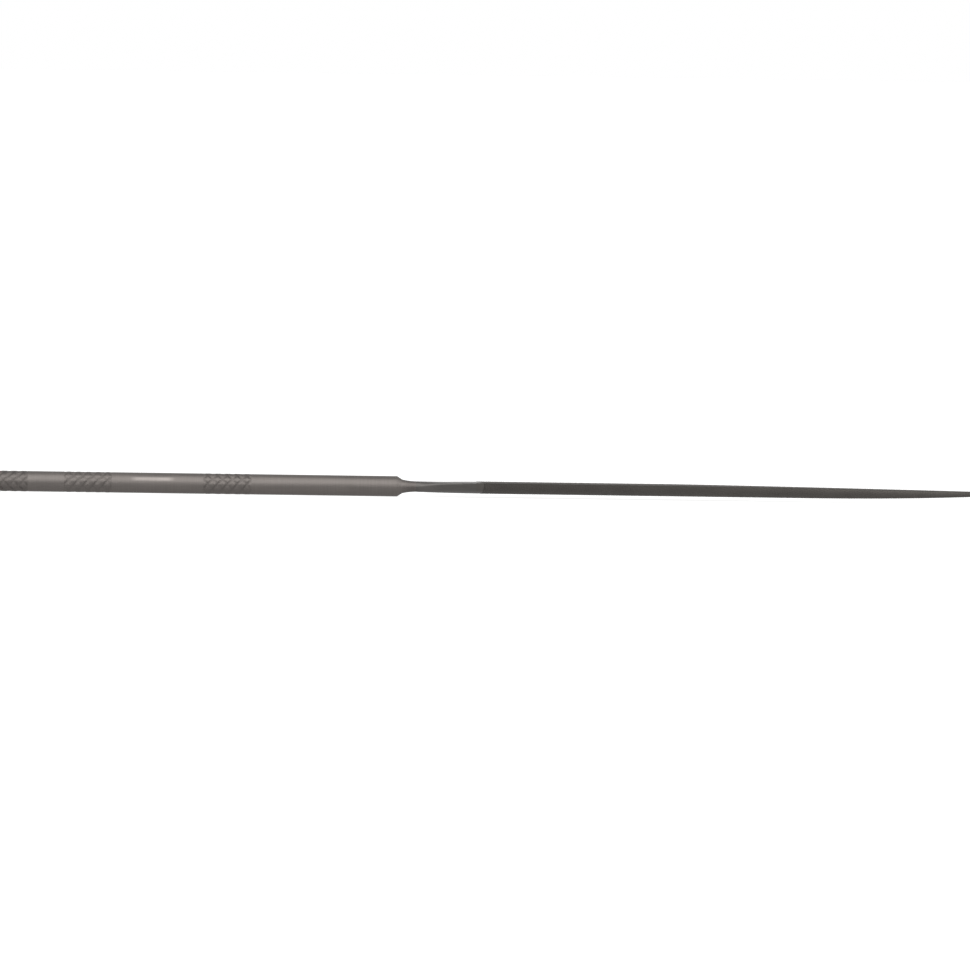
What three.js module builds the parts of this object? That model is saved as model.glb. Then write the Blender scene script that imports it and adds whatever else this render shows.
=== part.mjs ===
// Half round needle file, 200 mm long: one bar of tool steel with a round knurled handle and a half round blade.
// Millimetres. +X runs from the butt to the point and +Z is the outward normal of the flat side.
// The origin is under the middle of the file, on the plane that the knurled handle lies on.
import * as THREE from 'three';

// Lengths along the file, in order from the butt
const buttBevel = 0.4;
const buttLand = 1.4; // bare end behind the rear knurl, bevel included
const knurlLength = 9.6; // each of the three knurled bands
const rearLand = 6.9; // bare stretch between the rear and the middle knurl
const middleLand = 17.8; // bare stretch between the middle and the front knurl
const frontLand = 28.5; // bare stretch from the front knurl to the shoulder
const shoulderLength = 1.0; // bevel down from the handle
const neckLength = 2.7; // hollow curve from the shoulder's foot to the round neck
const heelLength = 11.9; // flare from the round neck to the half round blade
const cutLength = 101; // toothed blade, with the slanting start of its cut
const parallelLength = 39; // the part of the blade that keeps its full width and height
const fullBellyLength = 63; // the part of the blade that keeps its full depth below the axis
const tipRound = 0.4; // rounding of the point

// Diameters of the round sections
const handleDiameter = 4.0;
const shoulderFootDiameter = 2.72;
const neckDiameter = 2.08;

// Diamond knurl
const knurlPitch = 1.92; // from groove to groove of one hand, along the axis
const knurlAngle = 47.5; // degrees between a groove and the axis
const knurlDepth = 0.14; // groove bottom below the bare handle
const knurlRaise = 0.02; // diamond tops above the bare handle
const diamondTopShare = 0.25; // size of a diamond's flat top over the size of its foot

// Half round section of the blade, with heights measured from the handle's axis
const bladeWidth = 6.2;
const flatHeight = 1.03; // flat side above the axis
const bellyDepth = 1.27; // lowest line of the round side below the axis
const tipWidth = 1.0;
const tipFlatHeight = 0.48;
const tipBellyDepth = 0.42;
const cutStep = 0.06; // the uncut heel stays this far inside the cut blade, all round

// How the tapers bend: 1 is straight, and more starts them more gently
const widthCurveShare = 1.1;
const flatCurveShare = 1.35;
const bellyCurveShare = 2.3;

// How the flare bends: its sides widen, its corners rise and its round side deepens early
const widenShare = 2;
const cornerRiseShare = 3;
const deepenShare = 2.4;
const flareEase = 0.06; // share of the heel over which the sides and corners turn out of the round neck
const leastCrown = 0.0001; // rise of the heel's top where it is all but flat
const ringCrowding = 1.5; // more brings the flare's rings closer to the neck

// Number of flat steps that each curve is made of
const neckSteps = 6;
const flareSteps = 9;
const parallelSteps = 2;
const taperSteps = 15;
const arcSteps = 15;

// Places along the file, measured from the butt
const rearKnurlStart = buttLand;
const middleKnurlStart = rearKnurlStart + knurlLength + rearLand;
const frontKnurlStart = middleKnurlStart + knurlLength + middleLand;
const shoulderStart = frontKnurlStart + knurlLength + frontLand;
const neckStart = shoulderStart + shoulderLength;
const heelStart = neckStart + neckLength;
const bladeStart = heelStart + heelLength;
const overallLength = bladeStart + cutLength;

const handleRadius = handleDiameter / 2;
const neckRadius = neckDiameter / 2;

// The knurl's grid: grooves of both hands cross at every other row and every other pair of columns
const grooveWidthRound = knurlPitch * Math.tan(THREE.MathUtils.degToRad(knurlAngle));
const knurlStarts = Math.max(4, Math.round((Math.PI * handleDiameter) / grooveWidthRound));
const knurlRows = 2 * Math.max(2, Math.round(knurlLength / knurlPitch));
const roundPoints = 4 * knurlStarts;

// A point of the file, from its distance along the bar and its place across and above the handle's axis
function point(along, across, above) {
  return new THREE.Vector3(along - overallLength / 2, across, above);
}

// A point on a round section. Column 0 is half a step above the +Y side, so that a flat step faces down
function roundPoint(along, column, radius) {
  const angle = ((column + 1 / 2) * 2 * Math.PI) / roundPoints;
  return point(along, radius * Math.cos(angle), radius * Math.sin(angle));
}

function roundRing(along, radius) {
  return Array.from({ length: roundPoints }, (_, column) => roundPoint(along, column, radius));
}

// The triangles of one solid's skin, each facing out
class Skin {
  constructor() {
    this.corners = [];
  }

  triangle(a, b, c) {
    this.corners.push(a, b, c);
  }

  quad(a, b, c, d) {
    this.triangle(a, b, c);
    this.triangle(a, c, d);
  }

  // Walls between neighbouring rings, each with the same number of points
  walls(rings) {
    for (let k = 1; k < rings.length; k += 1) {
      const rear = rings[k - 1];
      const front = rings[k];
      rear.forEach((corner, i) => {
        const next = (i + 1) % rear.length;
        this.quad(corner, rear[next], front[next], front[i]);
      });
    }
  }

  // A flat end, as a fan round the middle of its ring
  end(ring, facesForward) {
    const middle = new THREE.Vector3();
    ring.forEach((corner) => middle.addScaledVector(corner, 1 / ring.length));
    ring.forEach((corner, i) => {
      const next = ring[(i + 1) % ring.length];
      if (facesForward) {
        this.triangle(middle, corner, next);
      } else {
        this.triangle(middle, next, corner);
      }
    });
  }

  mesh(name, material) {
    const geometry = new THREE.BufferGeometry().setFromPoints(this.corners);
    geometry.computeVertexNormals();
    const mesh = new THREE.Mesh(geometry, material);
    mesh.name = name;
    return mesh;
  }
}

// A solid through a row of rings, closed by a flat end at each side
function loft(name, material, rings) {
  const skin = new Skin();
  skin.end(rings[0], false);
  skin.walls(rings);
  skin.end(rings[rings.length - 1], true);
  return skin.mesh(name, material);
}

// One knurled band. Its diamonds stand in staggered rows, and their grooves run out at the band's two ends
function addKnurl(skin, start) {
  const foot = handleRadius - knurlDepth;
  const top = handleRadius + knurlRaise;
  const place = (column, row, radius) => roundPoint(start + knurlLength * (row / knurlRows), column, radius);
  const around = (column) => (column + roundPoints) % roundPoints;
  const crossing = (column, row) => {
    const atEnd = row === 0 || row === knurlRows;
    return place(around(column), row, atEnd ? handleRadius : foot);
  };

  for (let row = 0; row <= knurlRows; row += 1) {
    for (let column = 2 * ((row + 1) % 2); column < roundPoints; column += 4) {
      if (row === 0) {
        for (let k = column - 2; k < column + 2; k += 1) {
          skin.triangle(crossing(k, row), crossing(k + 1, row), crossing(column, row + 1));
        }
      } else if (row === knurlRows) {
        for (let k = column - 2; k < column + 2; k += 1) {
          skin.triangle(crossing(column, row - 1), crossing(k + 1, row), crossing(k, row));
        }
      } else {
        const feet = [
          crossing(column, row - 1),
          crossing(column + 2, row),
          crossing(column, row + 1),
          crossing(column - 2, row),
        ];
        const tops = [
          place(column, row - diamondTopShare, top),
          place(column + 2 * diamondTopShare, row, top),
          place(column, row + diamondTopShare, top),
          place(column - 2 * diamondTopShare, row, top),
        ];
        skin.quad(...tops);
        feet.forEach((corner, i) => {
          const next = (i + 1) % feet.length;
          skin.quad(corner, feet[next], tops[next], tops[i]);
        });
      }
    }
  }
}

// Handle: turned bar with a bevelled butt, three rolled knurls and bare lands between them
function makeHandle(material) {
  const skin = new Skin();
  const butt = roundRing(0, handleRadius - buttBevel);
  skin.end(butt, false);
  skin.walls([butt, roundRing(buttBevel, handleRadius), roundRing(rearKnurlStart, handleRadius)]);

  const knurlStarting = [rearKnurlStart, middleKnurlStart, frontKnurlStart];
  knurlStarting.forEach((start, i) => {
    addKnurl(skin, start);
    const nextStart = knurlStarting[i + 1] ?? shoulderStart;
    skin.walls([roundRing(start + knurlLength, handleRadius), roundRing(nextStart, handleRadius)]);
  });

  skin.end(roundRing(shoulderStart, handleRadius), true);
  return skin.mesh('handle', material);
}

// Neck: the shoulder's bevel, then a hollow arc that leaves the round neck level
function makeNeck(material) {
  const drop = (shoulderFootDiameter - neckDiameter) / 2;
  const arcRadius = (neckLength ** 2 + drop ** 2) / (2 * drop);
  const rings = [roundRing(shoulderStart, handleRadius)];
  for (let step = 0; step < neckSteps; step += 1) {
    const left = neckLength * (1 - step / neckSteps);
    const radius = neckRadius + arcRadius - Math.sqrt(arcRadius ** 2 - left ** 2);
    rings.push(roundRing(heelStart - left, radius));
  }
  rings.push(roundRing(heelStart, neckRadius));
  return loft('neck', material, rings);
}

// The round side of a half round section: an arc under a flat, from its -Y edge to its +Y edge
function bellyArc(along, halfWidth, flat, belly, steps) {
  const sagitta = flat + belly;
  const radius = (halfWidth ** 2 + sagitta ** 2) / (2 * sagitta);
  const halfAngle = Math.atan2(halfWidth, radius - sagitta);
  return Array.from({ length: steps + 1 }, (_, i) => {
    const angle = halfAngle * ((2 * i) / steps - 1);
    return point(along, radius * Math.sin(angle), radius - belly - radius * Math.cos(angle));
  });
}

// A section between round and half round: a crowned top over a round belly, meeting in a corner on each side
function flareRing(along, halfWidth, corner, top, belly) {
  const topSteps = roundPoints / 2 - 1;
  const crown = Math.max(top - corner, leastCrown);
  const radius = (halfWidth ** 2 + crown ** 2) / (2 * crown);
  const halfAngle = Math.atan2(halfWidth, radius - crown);
  const overTop = Array.from({ length: topSteps }, (_, i) => {
    const angle = halfAngle * (1 - (2 * i) / topSteps);
    return point(along, radius * Math.sin(angle), top - radius * (1 - Math.cos(angle)));
  });
  const underneath = bellyArc(along, halfWidth, corner, belly, roundPoints - topSteps);
  return [...overTop, ...underneath.slice(0, -1)];
}

// Heel: the round neck flares into the half round section
function makeHeel(material) {
  const cornerAngle = Math.PI / roundPoints;
  const flat = flatHeight - cutStep;
  const rings = Array.from({ length: flareSteps + 1 }, (_, step) => {
    const share = (step / flareSteps) ** ringCrowding;
    const eased = (share ** 2 * (1 + flareEase)) / (share + flareEase);
    const widening = 1 - (1 - eased) ** widenShare;
    const rising = 1 - (1 - eased) ** cornerRiseShare;
    return flareRing(
      heelStart + heelLength * share,
      THREE.MathUtils.lerp(neckRadius * Math.cos(cornerAngle), bladeWidth / 2 - cutStep, widening),
      THREE.MathUtils.lerp(neckRadius * Math.sin(cornerAngle), flat, rising),
      THREE.MathUtils.lerp(neckRadius, flat, share),
      THREE.MathUtils.lerp(neckRadius, bellyDepth - cutStep, 1 - (1 - share) ** deepenShare),
    );
  });
  return loft('heel', material, rings);
}

// A half round ring of the blade, its sizes tapering from the heel's end to the point
function bladeRing(fromHeel) {
  const taper = (full, tip, begins, curve) => {
    const share = Math.max(0, (fromHeel - begins) / (cutLength - begins));
    return full - (full - tip) * share ** curve;
  };
  const halfWidth = taper(bladeWidth, tipWidth, parallelLength, widthCurveShare) / 2;
  const flat = taper(flatHeight, tipFlatHeight, parallelLength, flatCurveShare);
  const belly = taper(bellyDepth, tipBellyDepth, fullBellyLength, bellyCurveShare);
  return bellyArc(bladeStart + fromHeel, halfWidth, flat, belly, arcSteps);
}

// Blade: parallel at first, then tapered on all sides to a small rounded point
function makeBlade(material) {
  const places = [];
  for (let step = 0; step < parallelSteps; step += 1) {
    places.push((parallelLength * step) / parallelSteps);
  }
  for (let step = 0; step <= taperSteps; step += 1) {
    const taperLength = cutLength - tipRound - parallelLength;
    places.push(parallelLength + (taperLength * step) / taperSteps);
  }
  const rings = places.map(bladeRing);
  rings.push(roundedTip(bladeRing(cutLength)));
  return loft('blade', material, rings);
}

// The end ring of the point, drawn in towards its middle by the rounding
function roundedTip(ring) {
  const middle = new THREE.Box3().setFromPoints(ring).getCenter(new THREE.Vector3());
  const drawIn = 1 - (2 * tipRound) / tipWidth;
  return ring.map((corner) => corner.clone().sub(middle).multiplyScalar(drawIn).add(middle));
}

// Steel finishes
const turnedSteel = new THREE.MeshStandardMaterial({ color: 0x716c69, roughness: 0.42, metalness: 0.9 });
const forgedSteel = new THREE.MeshStandardMaterial({ color: 0x53514f, roughness: 0.5, metalness: 0.85 });
const cutSteel = new THREE.MeshStandardMaterial({ color: 0x55524f, roughness: 0.62, metalness: 0.8 });

const file = new THREE.Group();
file.add(makeHandle(turnedSteel), makeNeck(turnedSteel), makeHeel(forgedSteel), makeBlade(cutSteel));

// The file lies on the lowest diamond tops of its knurls
file.position.z = -new THREE.Box3().setFromObject(file).min.z;

export default file;
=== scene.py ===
"""Half round needle file: one bar of tool steel with a knurled round handle and a half round cut blade."""
import math

import bmesh
import bpy
import numpy as np
from mathutils import Matrix, Quaternion, Vector


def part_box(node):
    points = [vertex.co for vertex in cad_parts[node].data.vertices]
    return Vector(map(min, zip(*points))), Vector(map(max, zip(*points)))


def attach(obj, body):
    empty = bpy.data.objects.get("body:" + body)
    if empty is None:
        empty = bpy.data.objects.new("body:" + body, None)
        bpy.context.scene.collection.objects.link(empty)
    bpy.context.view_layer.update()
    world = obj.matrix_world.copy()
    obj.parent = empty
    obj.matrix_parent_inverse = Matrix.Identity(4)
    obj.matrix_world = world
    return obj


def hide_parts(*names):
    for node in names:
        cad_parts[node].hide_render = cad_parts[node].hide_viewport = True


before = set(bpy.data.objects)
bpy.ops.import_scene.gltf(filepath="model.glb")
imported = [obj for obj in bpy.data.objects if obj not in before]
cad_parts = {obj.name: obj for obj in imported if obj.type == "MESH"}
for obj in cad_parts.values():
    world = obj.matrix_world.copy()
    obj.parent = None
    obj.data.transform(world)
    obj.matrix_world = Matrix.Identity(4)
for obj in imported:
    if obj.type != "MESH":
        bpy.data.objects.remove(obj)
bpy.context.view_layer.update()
scene = bpy.context.scene
scene.view_settings.view_transform = "Standard"
mm = 0.001

# Camera: a long lens a little above the bench, so that the flat side shows as a thin line along the blade's
# top. The photograph's frame cuts off the butt and the point, and the file drops slightly to the right in it.
image_side_px = 970
pixel_size = 0.1966 * mm
axis_row_at_left_px = 480.75
axis_fall_per_px = 0.01395
file_middle_column_px = 481.5
camera_distance = 1500 * mm
camera_elevation = math.radians(3.3)
nearest_shown = 100 * mm
farthest_shown = 100000 * mm
axis_height = sum(corner.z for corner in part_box("handle")) / 2

image_middle_px = image_side_px / 2
axis_row_px = axis_row_at_left_px + axis_fall_per_px * image_middle_px
looked_at = Vector((
    (image_middle_px - file_middle_column_px) * pixel_size,
    0,
    axis_height + (axis_row_px - image_middle_px) * pixel_size / math.cos(camera_elevation),
))
view_direction = Vector((0, math.cos(camera_elevation), -math.sin(camera_elevation)))
camera_data = bpy.data.cameras.new("camera")
camera_data.lens = camera_data.sensor_width * camera_distance / (image_side_px * pixel_size)
camera_data.clip_start = nearest_shown
camera_data.clip_end = farthest_shown
camera = bpy.data.objects.new("camera", camera_data)
camera.location = looked_at - view_direction * camera_distance
camera.rotation_mode = "QUATERNION"
roll = Quaternion((0, 0, 1), math.atan(axis_fall_per_px))
camera.rotation_quaternion = view_direction.to_track_quat("-Z", "Y") @ roll
scene.collection.objects.link(camera)
scene.camera = camera

# Handle: a round bar of tool steel, centreless ground, with a bevelled butt and three bands of diamond knurl
# rolled into it. The knurl is one diamond, repeated in staggered rows on a flat sheet that is then rolled
# round the bar.
butt_place, shoulder_place = (corner.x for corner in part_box("handle"))
handle_radius = 2 * mm
butt_bevel = 0.4 * mm
butt_land = 1.4 * mm
knurl_length = 9.6 * mm
rear_land = 6.9 * mm
middle_land = 17.8 * mm
knurl_starts = 6
knurl_rows = 10
knurl_depth = 0.13 * mm
knurl_raise = 0.018 * mm
groove_half_width = 0.28 * mm
top_rounding = 0.06 * mm
least_bite = 0.15
bite_falloff = 4
corner_steps = 5
touching = 0.0005 * mm
half_row = knurl_length / knurl_rows
half_column = math.pi * handle_radius / knurl_starts


def pick(piece):
    """Makes this piece the only selected one and the active one."""
    bpy.ops.object.select_all(action="DESELECT")
    piece.select_set(True)
    bpy.context.view_layer.objects.active = piece


def join(pieces):
    """Joins pieces into the first one."""
    pick(pieces[0])
    for piece in pieces[1:]:
        piece.select_set(True)
    bpy.ops.object.join()
    return pieces[0]


def select_rings(piece, *places):
    """In edit mode, selects the points that lie at these places along the bar."""
    shape = bmesh.from_edit_mesh(piece.data)
    for vertex in shape.verts:
        vertex.select = any(abs(vertex.co.x - place) < touching for place in places)
    shape.select_flush_mode()
    shape.select_flush(True)
    bmesh.update_edit_mesh(piece.data)


def points_of(piece):
    """The places of a mesh's points, as an array of rows."""
    places = np.empty(len(piece.data.vertices) * 3)
    piece.data.vertices.foreach_get("co", places)
    return places.reshape(-1, 3)


def move_points(piece, places):
    """Puts a mesh's points at these places."""
    piece.data.vertices.foreach_set("co", np.asarray(places, float).ravel())
    piece.data.update()


def finish_mesh(piece, sharp_degrees):
    """Welds doubles, turns the faces out and smooths all but the sharp edges."""
    pick(piece)
    bpy.ops.object.mode_set(mode="EDIT")
    bpy.ops.mesh.select_all(action="SELECT")
    bpy.ops.mesh.remove_doubles(threshold=touching)
    bpy.ops.mesh.normals_make_consistent(inside=False)
    bpy.ops.object.mode_set(mode="OBJECT")
    bpy.ops.object.shade_smooth_by_angle(angle=math.radians(sharp_degrees))


def knurl_diamond():
    """One diamond of the knurl lying flat: groove flanks on four sides of a crowned top."""
    bpy.ops.object.select_all(action="DESELECT")
    bpy.ops.mesh.primitive_circle_add(vertices=4, radius=1, fill_type="NGON", location=(0, 0, 0))
    diamond = bpy.context.object
    diamond.scale = (half_row, half_column, 1)
    bpy.ops.object.transform_apply(location=False, rotation=False, scale=True)
    bpy.ops.object.mode_set(mode="EDIT")
    bpy.ops.mesh.select_all(action="SELECT")
    bpy.ops.transform.translate(value=(0, 0, -knurl_depth))
    for width, rise in (
        (groove_half_width, knurl_depth - top_rounding / 2),
        (top_rounding, top_rounding / 2),
        (top_rounding, knurl_raise),
    ):
        bpy.ops.mesh.inset(thickness=width, depth=0)
        bpy.ops.transform.translate(value=(0, 0, rise))
    bpy.ops.mesh.select_all(action="SELECT")
    bpy.ops.mesh.subdivide(number_cuts=2)
    bpy.ops.object.mode_set(mode="OBJECT")
    return diamond


def repeat(piece, count, step):
    """A row of copies of a mesh, welded where they touch."""
    array = piece.modifiers.new("repeat", "ARRAY")
    array.count = count
    array.use_relative_offset = False
    array.use_constant_offset = True
    array.constant_offset_displace = step
    array.use_merge_vertices = True
    array.merge_threshold = touching
    pick(piece)
    bpy.ops.object.modifier_apply(modifier=array.name)


def off_groove(turns):
    """How far a number is from the nearest whole number, where a groove's middle lies."""
    return np.abs(turns - np.round(turns))


def knurled_band(start_angle, first_hand, other_hand, dulled):
    """A knurled sleeve round the X axis, from X = 0 to the band's length.

    A pair of rolls presses the grooves of each hand in, deepest at an angle of their own and opposite it. A
    hand is that angle and a bite, the share of the knurl's depth that its grooves gain there over the least
    share. Angles are in degrees from the +Y side over the top. The rolls dull the steel.
    """
    sheets = []
    for first_row, first_column, rows in ((0, 1, knurl_rows // 2 + 1), (1, 0, knurl_rows // 2)):
        sheet = knurl_diamond()
        sheet.data.transform(Matrix.Translation((first_row * half_row, first_column * half_column, 0)))
        repeat(sheet, rows, (2 * half_row, 0, 0))
        repeat(sheet, knurl_starts, (0, 2 * half_column, 0))
        sheets.append(sheet)
    band = join(sheets)
    bpy.ops.object.mode_set(mode="EDIT")
    for end, facing in ((0, -1), (knurl_length, 1)):
        bpy.ops.mesh.select_all(action="SELECT")
        bpy.ops.mesh.bisect(
            plane_co=(end, 0, 0), plane_no=(facing, 0, 0), clear_outer=True, threshold=touching
        )
    bpy.ops.object.mode_set(mode="OBJECT")

    along, around, above = points_of(band).T
    first_groove = off_groove((along / half_row + around / half_column) / 2)
    other_groove = off_groove((along / half_row - around / half_column) / 2)
    rounding_error = 0.001
    in_other = first_groove - other_groove > rounding_error
    deepest, bite = np.where(in_other[:, None], other_hand, first_hand).T
    angle = math.radians(start_angle) + around / handle_radius
    depth_share = least_bite + bite * np.cos(angle - np.radians(deepest)) ** bite_falloff
    at_end = np.minimum(along, knurl_length - along) < touching
    radius = handle_radius + np.where(at_end, 0, np.where(above < 0, above * depth_share, above))
    move_points(band, np.stack([along, radius * np.cos(angle), radius * np.sin(angle)], axis=1))
    rolled = band.data.attributes.new("rolled", "FLOAT", "POINT")
    rolled.data.foreach_set("value", np.where(at_end, 0.0, dulled))
    return band


def rounded_corner(size):
    """Steps of a quarter circle: how far each is from the end, and how far in from the side."""
    for step in range(corner_steps + 1):
        turn = step / corner_steps * math.pi / 2
        yield size * (1 - math.sin(turn)), size * (1 - math.cos(turn))


def draw_out(extrude, profile):
    """Extrudes the selected ring along the bar, from the profile's first place and radius to the others."""
    for (place, radius), (next_place, next_radius) in zip(profile, profile[1:]):
        extrude(TRANSFORM_OT_translate={"value": (next_place - place, 0, 0)})
        shrink = next_radius / radius
        bpy.ops.transform.resize(value=(1, shrink, shrink), center_override=(next_place, 0, axis_height))


rear_knurl = butt_place + butt_land
middle_knurl = rear_knurl + knurl_length + rear_land
front_knurl = middle_knurl + knurl_length + middle_land
knurls = []
for start, start_angle, first_hand, other_hand, dulled in (
    (rear_knurl, 25, (140, 0.95), (220, 0.85), 1),
    (middle_knurl, 18, (160, 0.85), (120, 0.45), 0.4),
    (front_knurl, 29, (170, 0.8), (140, 0.75), 0.4),
):
    knurl = knurled_band(start_angle, first_hand, other_hand, dulled)
    knurl.data.transform(Matrix.Translation((start, 0, axis_height)))
    knurls.append(knurl)
handle = join(knurls)
handle.name = "handle_bar"

bpy.ops.object.mode_set(mode="EDIT")
bpy.ops.mesh.select_all(action="SELECT")
bpy.ops.mesh.remove_doubles(threshold=touching)
for land_start, land_end in (
    (rear_knurl + knurl_length, middle_knurl),
    (middle_knurl + knurl_length, front_knurl),
):
    select_rings(handle, land_start, land_end)
    bpy.ops.mesh.bridge_edge_loops()
for land_start, profile in (
    (front_knurl + knurl_length, [(shoulder_place, handle_radius)]),
    (rear_knurl, [(butt_place + left, handle_radius - drop) for left, drop in rounded_corner(butt_bevel)]),
):
    select_rings(handle, land_start)
    draw_out(bpy.ops.mesh.extrude_edges_move, [(land_start, handle_radius)] + profile)
    bpy.ops.mesh.edge_face_add()
bpy.ops.object.mode_set(mode="OBJECT")
finish_mesh(handle, sharp_degrees=40)


def linear(hex_colour):
    """An sRGB hex colour as the linear colour that shaders take."""
    channels = [int(hex_colour[i:i + 2], 16) / 255 for i in (0, 2, 4)]
    return [c / 12.92 if c <= 0.04045 else ((c + 0.055) / 1.055) ** 2.4 for c in channels] + [1]


def new_material(name):
    """A new material and its shader."""
    material = bpy.data.materials.new(name)
    material.use_nodes = True
    return material, material.node_tree.nodes["Principled BSDF"]


def set_inputs(material, node, inputs):
    """Gives each input of a node, by its name or number, a value or the output of another node."""
    for key, value in inputs.items():
        if isinstance(value, bpy.types.NodeSocket):
            material.node_tree.links.new(value, node.inputs[key])
        else:
            node.inputs[key].default_value = value


def add_node(material, kind, inputs=None, **settings):
    """Adds a node with its settings and its inputs."""
    node = material.node_tree.nodes.new(kind)
    for key, value in settings.items():
        setattr(node, key, value)
    set_inputs(material, node, inputs or {})
    return node


def grain(material, length, width):
    """Soft spots from 0 to 1, this long along the bar and this wide across it."""
    place = add_node(material, "ShaderNodeTexCoord").outputs["Object"]
    in_spots = add_node(material, "ShaderNodeMapping", {
        "Vector": place,
        "Scale": (1 / length, 1 / width, 1 / width),
    })
    return add_node(material, "ShaderNodeTexNoise", {
        "Vector": in_spots.outputs["Vector"],
        "Scale": 1,
    }).outputs["Fac"]


def along_bar(material):
    """The place along the X axis, in metres."""
    place = add_node(material, "ShaderNodeTexCoord").outputs["Object"]
    return add_node(material, "ShaderNodeSeparateXYZ", {0: place}).outputs["X"]


def varied(material, level, *changes):
    """A level that changes over the surface.

    A change is a measure, its low and high value, and the factors that multiply the level at these.
    """
    for measure, low, high, low_factor, high_factor in changes:
        factor = add_node(material, "ShaderNodeMapRange", {
            "Value": measure,
            "From Min": low,
            "From Max": high,
            "To Min": low_factor,
            "To Max": high_factor,
        }).outputs["Result"]
        level = add_node(material, "ShaderNodeMath", {0: level, 1: factor}, operation="MULTIPLY").outputs[0]
    return level


def make_steel(material, shader, hex_colour, brightness, roughness):
    """Sets the shader to bare metal. The brightness is a factor for the colour."""
    colour = add_node(material, "ShaderNodeMix", {
        "Factor": 1,
        "A": linear(hex_colour),
        "B": brightness,
    }, data_type="RGBA", blend_type="MULTIPLY")
    set_inputs(material, shader, {
        "Base Color": colour.outputs["Result"],
        "Metallic": 1,
        "Roughness": roughness,
    })


def stretch_highlight(material, shader, anisotropy):
    """Fine marks that run round the bar spread its highlights along it."""
    round_the_bar = add_node(material, "ShaderNodeTangent", direction_type="RADIAL", axis="X")
    quarter_turn = 0.25
    set_inputs(material, shader, {
        "Tangent": round_the_bar.outputs["Tangent"],
        "Anisotropic": anisotropy,
        "Anisotropic Rotation": quarter_turn,
    })


# Satin grey tool steel, ground round, with soft blotches. The rolled knurl is duller, and shade is painted
# into its grooves as a darker colour. A streak between the middle and the front knurl, high on the -Y side,
# is rubbed bright. The real grinding lines are too fine to show, so these are drawn six times as coarse.
turned_colour = "716c69"
turned_roughness = 0.66
turned_anisotropy = 0.75
usual_grain = (0.3, 0.7)  # nearly all of a grain lies between these
blotch_length = 7 * mm
blotch_width = 1.5 * mm
blotch_contrast = 0.14
blotch_gloss = 0.076
grinding_spacing = 0.01 * mm
grinding_length = 6 * mm
grinding_depth = 0.003 * mm
ring_coarseness = 6
ring_contrast = 0.07
# Painted shade: the colour is darker in the knurl's grooves, between these two radii.
painted_groove_shade = 0.8
groove_top = handle_radius - 0.05 * knurl_depth
groove_bottom = handle_radius - 0.5 * knurl_depth
# Towards the neck the colour turns darker. This meets the darker forged steel, and is partly painted shade
# for the neck's lower side.
neck_tone_and_painted_shade = 0.8
neck_darkens = (shoulder_place + 0.5 * mm, shoulder_place + 2.5 * mm)
rolled_roughening = 1.1
streak_place = middle_knurl + knurl_length + 7.9 * mm
streak_angle = math.radians(27)
streak_half_length = 3 * mm
streak_end_fade = 1.5 * mm
streak_half_width = math.radians(4)
streak_side_fade = math.radians(10)
streak_smoothing = 0.6
turned_steel, shader = new_material("turned_tool_steel")
blotches = grain(turned_steel, blotch_length, blotch_width)
grinding = grain(turned_steel, ring_coarseness * grinding_spacing, grinding_length)
rolled = add_node(turned_steel, "ShaderNodeAttribute", attribute_name="rolled").outputs["Fac"]
along = along_bar(turned_steel)
place = add_node(turned_steel, "ShaderNodeTexCoord").outputs["Object"]
from_axis = add_node(turned_steel, "ShaderNodeVectorMath", {
    0: place,
    1: (0, 0, axis_height),
}, operation="SUBTRACT").outputs["Vector"]
across_bar = add_node(turned_steel, "ShaderNodeVectorMath", {
    0: from_axis,
    1: (0, 1, 1),
}, operation="MULTIPLY").outputs["Vector"]
radius = add_node(turned_steel, "ShaderNodeVectorMath", {0: across_bar}, operation="LENGTH")
# Painted shade in the knurl's grooves: a mask that is 1 below the groove radii and fades out before the
# shoulder.
groove_shade_mask = varied(
    turned_steel, 1,
    (radius.outputs["Value"], groove_bottom, groove_top, 1, 0),
    (along, shoulder_place - 0.1 * mm, shoulder_place, 1, 0),
)
past_streak = add_node(turned_steel, "ShaderNodeMath", {0: along, 1: streak_place}, operation="SUBTRACT")
from_streak = add_node(turned_steel, "ShaderNodeMath", {0: past_streak.outputs[0]}, operation="ABSOLUTE")
toward_streak = add_node(turned_steel, "ShaderNodeVectorMath", {
    0: across_bar,
    1: (0, -math.cos(streak_angle) / handle_radius, math.sin(streak_angle) / handle_radius),
}, operation="DOT_PRODUCT")
faded_cosine = math.cos(streak_half_width + streak_side_fade)
full_cosine = math.cos(streak_half_width)
streak = varied(
    turned_steel, 1,
    (from_streak.outputs[0], streak_half_length, streak_half_length + streak_end_fade, 1, 0),
    (toward_streak.outputs["Value"], faded_cosine, full_cosine, 0, 1),
)
brightness = varied(
    turned_steel, 1,
    (blotches, *usual_grain, 1 - blotch_contrast, 1 + blotch_contrast),
    (grinding, *usual_grain, 1 - ring_contrast, 1 + ring_contrast),
    (groove_shade_mask, 0, 1, 1, painted_groove_shade),
    (along, *neck_darkens, 1, neck_tone_and_painted_shade),
)
roughness = varied(
    turned_steel, turned_roughness,
    (blotches, *usual_grain, 1 - blotch_gloss, 1 + blotch_gloss),
    (rolled, 0, 1, 1, rolled_roughening),
    (streak, 0, 1, 1, streak_smoothing),
)
make_steel(turned_steel, shader, turned_colour, brightness, roughness)
stretch_highlight(turned_steel, shader, turned_anisotropy)
bumped = add_node(turned_steel, "ShaderNodeBump", {"Height": grinding, "Distance": grinding_depth})
set_inputs(turned_steel, shader, {"Normal": bumped.outputs["Normal"]})
handle.data.materials.append(turned_steel)
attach(handle, "root")
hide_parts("handle")

# Neck: the same bar, turned down in one cut from the handle's shoulder, with a straight bevel and then a
# hollow curve. It is a disc drawn out along the bar and narrowed ring by ring.
neck_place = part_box("neck")[1].x
shoulder_length = 1 * mm
shoulder_foot_radius = 1.36 * mm
neck_radius = 1.04 * mm
neck_curve_steps = 14
round_points = 128


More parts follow.
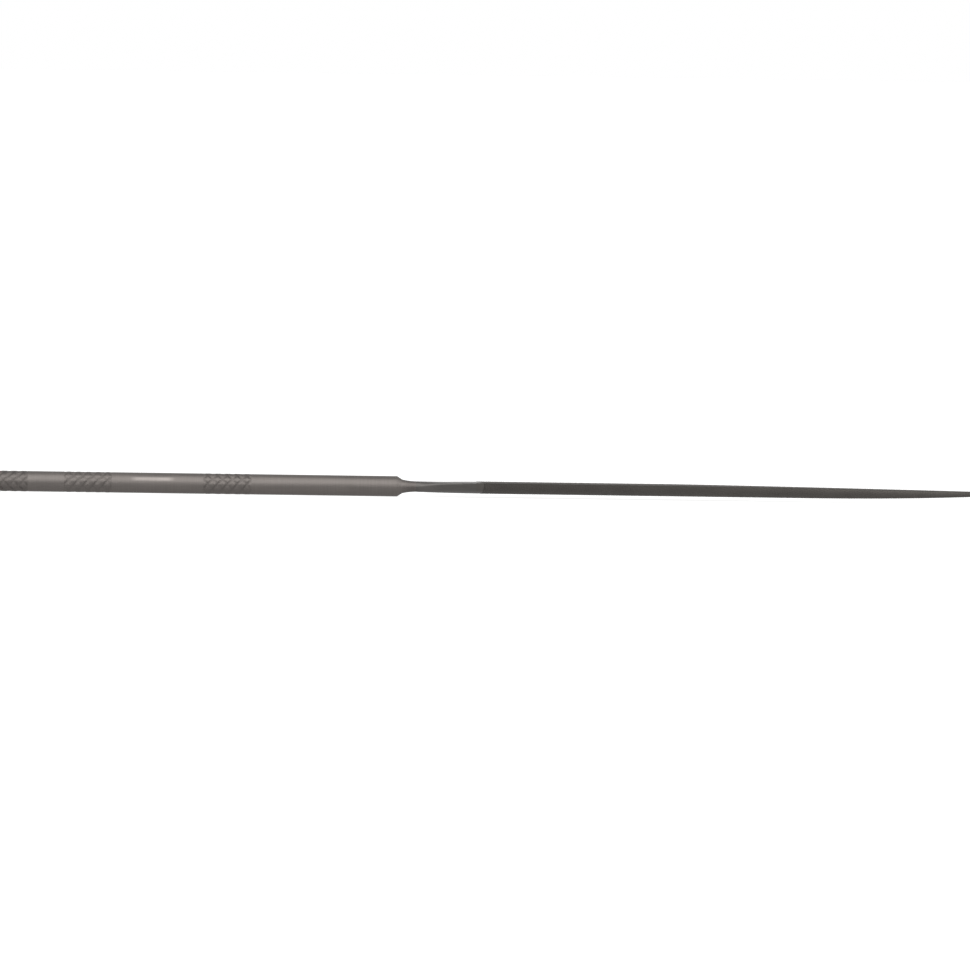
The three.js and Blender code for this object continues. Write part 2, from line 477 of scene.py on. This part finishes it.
def neck_curve(place):
    """Radius of the hollow curve, an arc that meets the round neck level."""
    length = neck_place - shoulder_place - shoulder_length
    drop = shoulder_foot_radius - neck_radius
    arc_radius = (length ** 2 + drop ** 2) / (2 * drop)
    return neck_radius + arc_radius - math.sqrt(arc_radius ** 2 - (neck_place - place) ** 2)


bpy.ops.object.select_all(action="DESELECT")
bpy.ops.mesh.primitive_circle_add(
    vertices=round_points, radius=handle_radius, fill_type="NGON",
    location=(shoulder_place, 0, axis_height), rotation=(0, math.pi / 2, 0),
)
neck = bpy.context.object
neck.name = "turned_neck"
bpy.ops.object.transform_apply(location=True, rotation=True, scale=True)
bpy.ops.object.mode_set(mode="EDIT")
bpy.ops.mesh.select_all(action="SELECT")
curve_places = np.linspace(shoulder_place + shoulder_length, neck_place, neck_curve_steps + 1)
draw_out(
    bpy.ops.mesh.extrude_region_move,
    [(shoulder_place, handle_radius)] + [(place, neck_curve(place)) for place in curve_places],
)
bpy.ops.object.mode_set(mode="OBJECT")
finish_mesh(neck, sharp_degrees=25)
neck.data.materials.append(turned_steel)
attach(neck, "root")
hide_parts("neck")

# Heel: the same bar, forged and ground out from the round neck to the half round section, without teeth.
# Each point of the neck's ring runs to its own point of the blade's ring, widening slowly and rising early.
heel_end_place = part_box("heel")[1].x
blade_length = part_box("blade")[1].x - heel_end_place
blade_half_width = 3.1 * mm
flat_height = 1.03 * mm
belly_depth = 1.27 * mm
uncut_step = 0.06 * mm
top_columns = 48
belly_columns = 64
column_count = top_columns + belly_columns
columns = np.arange(column_count)
on_top = columns < top_columns
least_crown = 0.0001 * mm
heel_rings = 60
ring_crowding = 1.3
slow_start = 0.06
width_haste = 2
corner_haste = 3
belly_haste = 2.4
corner_angle = math.radians(7.5)
soft_from = 0.1
soft_until = 0.75
softening_passes = 10


def section_rings(place, half_width, corner, top, belly, sunk=0):
    """Rings with a crowned or flat top over a round belly, meeting in a corner on each side.

    Every size is an array with a row for each ring and a number for each of its points, or one number for
    all. Sunk points lie that far under the skin.
    """
    crown = np.maximum(top - corner, least_crown)
    top_radius = (half_width ** 2 + crown ** 2) / (2 * crown)
    top_angle = np.arctan2(half_width, top_radius - crown) * (1 - 2 * columns / top_columns)
    sagitta = corner + belly
    belly_radius = (half_width ** 2 + sagitta ** 2) / (2 * sagitta)
    belly_end_angle = np.arctan2(half_width, belly_radius - sagitta)
    belly_angle = belly_end_angle * (2 * (columns - top_columns) / belly_columns - 1)
    across = np.where(on_top, top_radius * np.sin(top_angle), belly_radius * np.sin(belly_angle))
    above = np.where(
        on_top, top - top_radius * (1 - np.cos(top_angle)), belly_radius * (1 - np.cos(belly_angle)) - belly
    )
    inward_across = np.where(on_top, 0, -np.sin(belly_angle))
    inward_above = np.where(on_top, -1, np.cos(belly_angle))
    for column, side in ((0, 1), (top_columns, -1)):
        inward_across[:, column] = -side * np.sin(belly_end_angle[:, column]) / 2
        inward_above[:, column] = (np.cos(belly_end_angle[:, column]) - 1) / 2
    return np.stack([
        np.broadcast_to(place, across.shape),
        across + sunk * inward_across,
        axis_height + above + sunk * inward_above,
    ], axis=2)


def skin_over(name, rings, marks=None):
    """A closed solid over rings of points: a grid with its side edges joined and its two ends filled.

    Marks are named numbers stored with the points, one for each point of each ring.
    """
    ring_count, ring_points = rings.shape[:2]
    bpy.ops.object.select_all(action="DESELECT")
    bpy.ops.mesh.primitive_grid_add(x_subdivisions=ring_points, y_subdivisions=ring_count - 1, size=1)
    piece = bpy.context.object
    piece.name = name
    closed = np.concatenate([rings, rings[:, :1]], axis=1)
    move_points(piece, closed.reshape(-1, 3))
    for mark, values in (marks or {}).items():
        closed_values = np.concatenate([values, values[:, :1]], axis=1)
        piece.data.attributes.new(mark, "FLOAT", "POINT").data.foreach_set("value", closed_values.ravel())
    pick(piece)
    bpy.ops.object.mode_set(mode="EDIT")
    bpy.ops.mesh.select_all(action="SELECT")
    bpy.ops.mesh.remove_doubles(threshold=touching)
    for end_ring in (rings[0], rings[-1]):
        select_rings(piece, end_ring[0, 0])
        bpy.ops.mesh.edge_face_add()
    bpy.ops.object.mode_set(mode="OBJECT")
    return piece


def mix(first, second, share):
    """What lies at this share of the way from the first to the second."""
    return first + (second - first) * share


def softened(rings):
    """Rings with their corners rounded off, by drawing each point towards its two neighbours."""
    for _ in range(softening_passes):
        rings = (np.roll(rings, 1, axis=1) + 2 * rings + np.roll(rings, -1, axis=1)) / 4
    return rings


share = np.linspace(0, 1, heel_rings)[:, None] ** ring_crowding * np.ones(column_count)
eased = share ** 2 * (1 + slow_start) / (share + slow_start)
corner_across = neck_radius * math.cos(corner_angle)
corner_above = neck_radius * math.sin(corner_angle)
sharp = section_rings(
    mix(neck_place, heel_end_place, share),
    mix(corner_across, blade_half_width - uncut_step, 1 - (1 - eased) ** width_haste),
    mix(corner_above, flat_height - uncut_step, 1 - (1 - eased) ** corner_haste),
    mix(neck_radius, flat_height - uncut_step, share),
    mix(neck_radius, belly_depth - uncut_step, 1 - (1 - share) ** belly_haste),
)
softness = np.clip(np.minimum(share / soft_from, (1 - share) / (1 - soft_until)), 0, 1)[:, :, None]
heel = skin_over("forged_heel", mix(sharp, softened(sharp), softness))
finish_mesh(heel, sharp_degrees=30)

# Forged tool steel ground lengthwise. It is rough and bright like the turned neck where it grows out of it,
# then smoother. The real grinding lines are too fine to show, so these are drawn ten times as coarse.
forged_colour = "53514f"
ground_roughness = 0.42
line_coarseness = 10
line_contrast = 0.08
neck_brightness = 1.35
neck_bright_to = neck_place + 5 * mm
neck_rough_to = neck_place + 4 * mm
forged_steel, shader = new_material("forged_tool_steel")
grinding = grain(forged_steel, grinding_length, line_coarseness * grinding_spacing)
along = along_bar(forged_steel)
brightness = varied(
    forged_steel, 1,
    (grinding, *usual_grain, 1 - line_contrast, 1 + line_contrast),
    (along, neck_place, neck_bright_to, neck_brightness, 1),
)
roughness = varied(forged_steel, 1, (along, neck_place, neck_rough_to, turned_roughness, ground_roughness))
anisotropy = varied(forged_steel, turned_anisotropy, (along, neck_place, neck_rough_to, 1, 0))
make_steel(forged_steel, shader, forged_colour, brightness, roughness)
stretch_highlight(forged_steel, shader, anisotropy)
heel.data.materials.append(forged_steel)
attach(heel, "root")
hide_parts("heel")

# Blade: the same bar, ground half round, cut on both sides with chisel teeth and crossed by a finer cut, then
# hardened. Slanting rings run along the tooth roots and the tooth crests. The finer cut notches the crests.
tip_half_width = 0.5 * mm
tip_flat_height = 0.48 * mm
tip_belly_depth = 0.42 * mm
parallel_length = 39 * mm
full_belly_length = 63 * mm
width_curve = 1.1
flat_curve = 1.35
belly_curve = 2.3
tip_round = 0.4 * mm
tooth_pitch = 0.33 * mm
tooth_depth = 0.11 * mm
crest_share = 0.7
cut_slant = 0.25
cut_start = 0.8 * mm
first_rise = 0.033 * mm
plain_tip = 0.6 * mm
notch_shares = np.array([0.7, 0.2, 0, 0.3])
notch_drift = 3


def taper(place, full, tip, begins, curve):
    """A size of the blade that stays full at first and then shrinks to its size at the point."""
    share = np.clip((place - heel_end_place - begins) / (blade_length - begins), 0, 1)
    return full - (full - tip) * share ** curve


def blade_rings(place, sunk):
    """Rings of the blade's section, with points sunk under its skin."""
    flat = taper(place, flat_height, tip_flat_height, parallel_length, flat_curve)
    return section_rings(
        place,
        taper(place, blade_half_width, tip_half_width, parallel_length, width_curve),
        flat,
        flat,
        taper(place, belly_depth, tip_belly_depth, full_belly_length, belly_curve),
        sunk,
    )


rows = [
    (0, uncut_step, 0),
    (cut_start, uncut_step, cut_slant),
    (cut_start + first_rise, 0, cut_slant),
]
tooth_count = int((blade_length - cut_start - plain_tip) / tooth_pitch)
for tooth in range(tooth_count):
    crest = cut_start + tooth_pitch * (tooth + 1)
    notched = notch_shares[(columns - notch_drift * tooth * np.where(on_top, 1, -1)) % len(notch_shares)]
    rows.append((crest - crest_share * tooth_pitch, tooth_depth, cut_slant))
    rows.append((crest, tooth_depth * notched, cut_slant))
rows.append((blade_length - tip_round, 0, 0))
middles, sinks, slants = (
    np.array([np.broadcast_to(value, column_count) for value in values]) for values in zip(*rows)
)
straight = blade_rings(heel_end_place + middles, sinks)
slanted = np.maximum(heel_end_place + middles - slants * straight[:, :, 1], heel_end_place)
rings = blade_rings(slanted, sinks)
depths = sinks / tooth_depth
toothed = np.ones(rings.shape[:2])
uncut_rings = 2
depths[:uncut_rings] = 0
toothed[:uncut_rings] = 0

tip_place = heel_end_place + blade_length
tip_section = blade_rings(np.full((1, column_count), tip_place), 0)[0]
tip_middle = (tip_section.min(axis=0) + tip_section.max(axis=0)) / 2
for left, drop in list(rounded_corner(tip_round))[1:]:
    ring = mix(tip_middle, tip_section, 1 - drop / tip_half_width)
    ring[:, 0] = tip_place - left
    rings = np.concatenate([rings, ring[None]])
tip_padding = ((0, len(rings) - len(rows)), (0, 0))
blade = skin_over("cut_blade", rings, {
    "tooth_depth": np.pad(depths, tip_padding),
    "toothed": np.pad(toothed, tip_padding, constant_values=1),
})
finish_mesh(blade, sharp_degrees=30)

# Hardened cut steel, dull, and a little darker near the heel. Shade is painted into the roots of the teeth as
# a darker colour. The land before the first tooth is smoother.
cut_colour = "55524f"
toothed_roughness = 0.6
stain_length = 5 * mm
stain_width = 1.5 * mm
stain_contrast = 0.06
# Painted shade: the colour is darker where the points sink into the roots of the teeth.
painted_root_shade = 0.9
heel_end_darkness = 0.92
far_brightness = 1.03
blade_brightens = (heel_end_place + 15 * mm, heel_end_place + 50 * mm)
cut_steel, shader = new_material("cut_tool_steel")
depth = add_node(cut_steel, "ShaderNodeAttribute", attribute_name="tooth_depth").outputs["Fac"]
toothed = add_node(cut_steel, "ShaderNodeAttribute", attribute_name="toothed").outputs["Fac"]
stains = grain(cut_steel, stain_length, stain_width)
brightness = varied(
    cut_steel, 1,
    (stains, *usual_grain, 1 - stain_contrast, 1 + stain_contrast),
    (depth, 0, 1, 1, painted_root_shade),
    (along_bar(cut_steel), *blade_brightens, heel_end_darkness, far_brightness),
)
roughness = varied(cut_steel, 1, (toothed, 0, 1, ground_roughness, toothed_roughness))
make_steel(cut_steel, shader, cut_colour, brightness, roughness)
blade.data.materials.append(cut_steel)
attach(blade, "root")
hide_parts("blade")

# Floor and light: a white bench top under an even sky, with two broad soft lamps high in front, one on each
# side. Seen directly or in the steel, the sky is plain white. The floor is lifted to white and keeps its
# shadow.
floor_side = 40000 * mm
floor_colour = "888888"
floor_roughness = 0.9
floor_lift = 0.82
sky_level = 0.25
lamp_strength = 2.15
lamp_breadth = math.radians(80)
lamp_elevation = math.radians(42)
lamp_azimuths = (math.radians(-30), math.radians(30))
lamp_distance = 1000 * mm
white = (1, 1, 1, 1)


def seen_as_background(material):
    """1 for rays that show the background, directly or through metal and glass, and 0 for light itself."""
    path = add_node(material, "ShaderNodeLightPath")
    seen = 0
    for ray in ("Is Camera Ray", "Is Glossy Ray", "Is Transmission Ray"):
        either = add_node(
            material, "ShaderNodeMath", {0: seen, 1: path.outputs[ray]}, operation="ADD", use_clamp=True
        )
        seen = either.outputs[0]
    return seen


bpy.ops.object.select_all(action="DESELECT")
bpy.ops.mesh.primitive_plane_add(size=floor_side, location=(0, 0, 0))
floor = bpy.context.object
floor.name = "floor"
white_paint, shader = new_material("white_paint")
set_inputs(white_paint, shader, {
    "Base Color": linear(floor_colour),
    "Roughness": floor_roughness,
    "Emission Color": white,
    "Emission Strength": varied(white_paint, 1, (seen_as_background(white_paint), 0, 1, 0, floor_lift)),
})
floor.data.materials.append(white_paint)

sky = bpy.data.worlds.new("white_sky")
scene.world = sky
sky.use_nodes = True
set_inputs(sky, sky.node_tree.nodes["Background"], {
    "Color": white,
    "Strength": varied(sky, 1, (seen_as_background(sky), 0, 1, sky_level, 1)),
})

for lamp_azimuth in lamp_azimuths:
    lamp_data = bpy.data.lights.new("soft_lamp", "SUN")
    lamp_data.energy = lamp_strength
    lamp_data.angle = lamp_breadth
    lamp = bpy.data.objects.new("soft_lamp", lamp_data)
    lamp_direction = Vector((
        math.sin(lamp_azimuth) * math.cos(lamp_elevation),
        -math.cos(lamp_azimuth) * math.cos(lamp_elevation),
        math.sin(lamp_elevation),
    ))
    lamp.location = lamp_direction * lamp_distance
    lamp.rotation_mode = "QUATERNION"
    lamp.rotation_quaternion = lamp_direction.to_track_quat("Z", "Y")
    scene.collection.objects.link(lamp)

bpy.context.view_layer.update()
